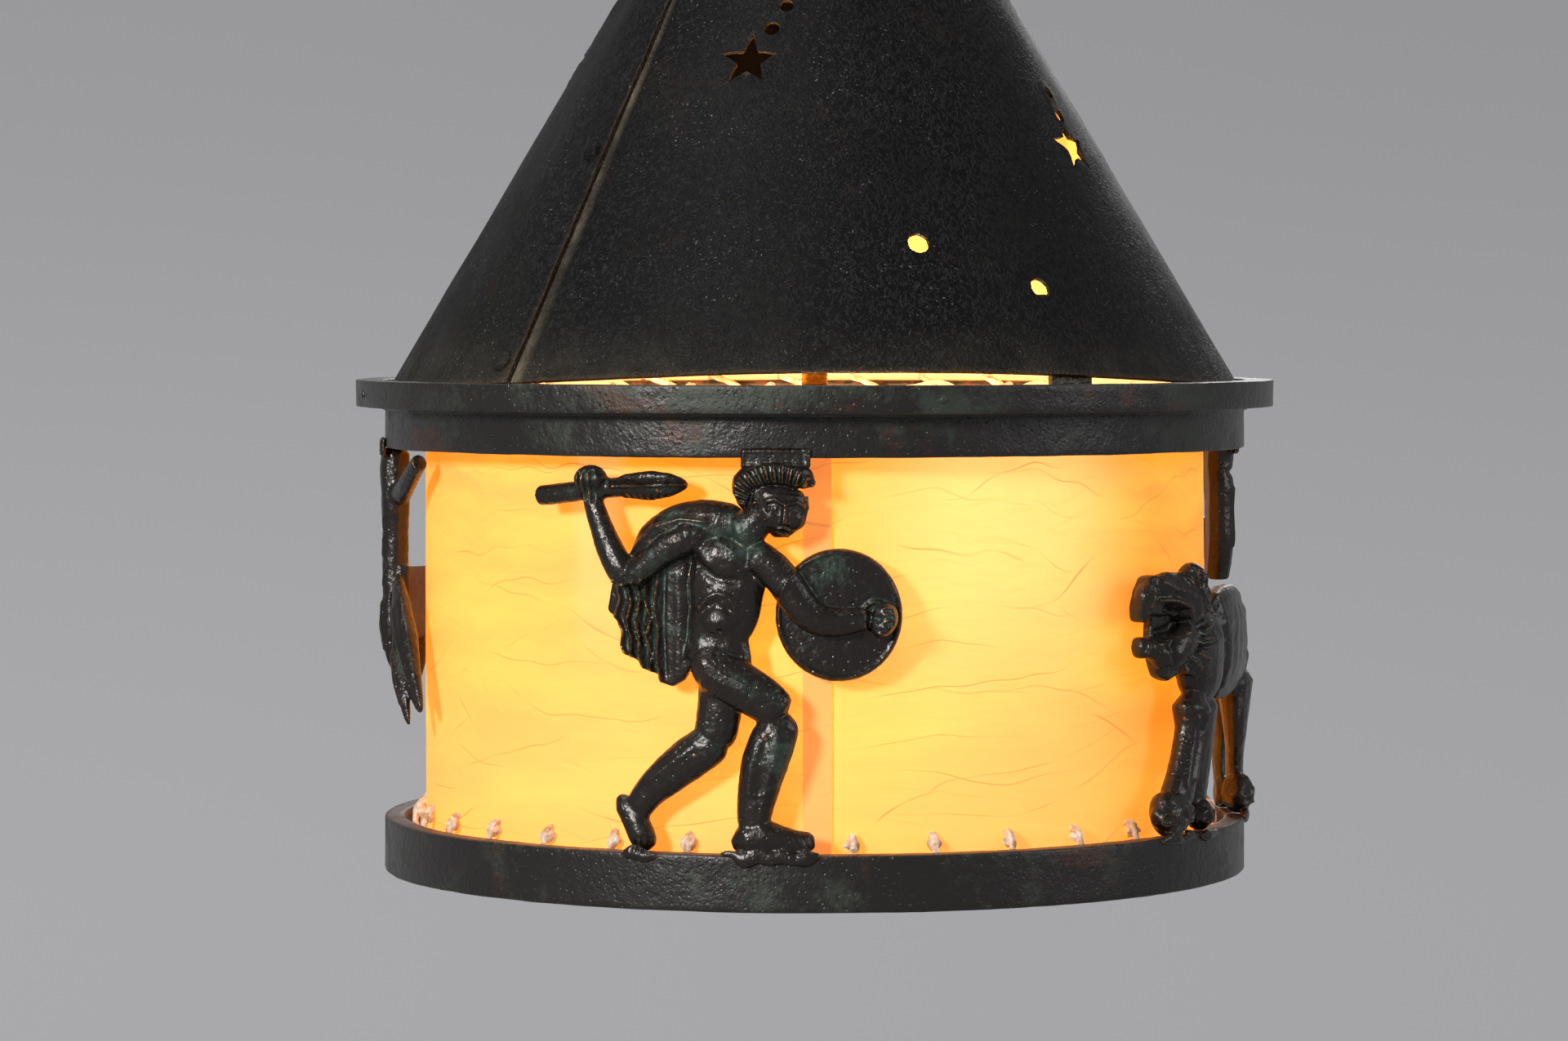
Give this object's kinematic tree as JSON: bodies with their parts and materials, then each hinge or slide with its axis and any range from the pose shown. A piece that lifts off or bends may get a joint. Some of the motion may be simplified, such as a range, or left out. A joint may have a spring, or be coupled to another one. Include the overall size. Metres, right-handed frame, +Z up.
{
  "type": "pendant lantern",
  "caption": "Pendant lantern with a pierced conical metal hood over a drum of cast relief figures and a laced parchment shade, hung from a ring.",
  "frame": {"origin": "the point inside the top of the suspension ring where the ceiling hook bears", "axes": "+Z up along the lantern's axis, -Y towards the front with the spearman, +X to its right"},
  "size_m": [0.342, 0.342, 0.4961],
  "materials": {
    "bronze": "dark patinated cast bronze with green recesses and worn warm edges",
    "hood_bronze": "dark patinated sheet bronze with a fine wormy texture",
    "brass": "plain turned brass, slightly dulled",
    "parchment": "translucent natural parchment, veined, satin",
    "gut_thong": "pale dried gut, matte",
    "iron_wire": "dark iron wire, dull",
    "ceramic": "white glazed ceramic",
    "bulb_glass": "frosted warm glass"
  },
  "bodies": {
    "hanger": {"suspension_ring": "bronze"},
    "lantern": {"hanger_eye": "bronze", "hood_cap": "hood_bronze", "clamp_washer": "brass", "lock_nut_top": "bronze", "lock_nut_inner": "brass", "stem": "brass", "hood": "hood_bronze", "seam_rivet_1": "hood_bronze", "seam_rivet_2": "hood_bronze", "seam_rivet_3": "hood_bronze", "hood_strap_1": "bronze", "hood_strap_2": "bronze", "hood_strap_3": "bronze", "hood_strap_4": "bronze", "strap_screw_1": "brass", "strap_screw_2": "brass", "strap_screw_3": "brass", "strap_screw_4": "brass", "flange_ring": "bronze", "flange_pin_1": "bronze", "flange_pin_2": "bronze", "flange_pin_3": "bronze", "flange_pin_4": "bronze", "upper_band": "bronze", "lower_ring": "bronze", "shade_lug_1": "bronze", "shade_lug_2": "bronze", "shade_lug_3": "bronze", "shade_lug_4": "bronze", "parchment_shade": "parchment", "shade_hoop_bottom": "iron_wire", "shade_hoop_top": "iron_wire", "lacing_bottom": "gut_thong", "lacing_top": "gut_thong", "spearman_front": "bronze", "lion": "bronze", "tree": "bronze", "spearman_rear": "bronze", "holder_cap": "brass", "holder_shell": "brass", "holder_collar": "brass", "holder_insulator": "ceramic"},
    "bulb": {"bulb_cap": "brass", "bulb_glass": "bulb_glass"}
  },
  "joints": [
    {"name": "lantern_swing", "type": "hinge", "parent": "hanger", "child": "lantern", "pos_m": [0, 0, -0.0315], "axis": [0, 1, 0], "range_deg": [-60, 60]},
    {"name": "bulb_unscrew", "type": "slide", "parent": "lantern", "child": "bulb", "axis": [0, 0, -1], "range_m": [0, 0.028]}
  ]
}
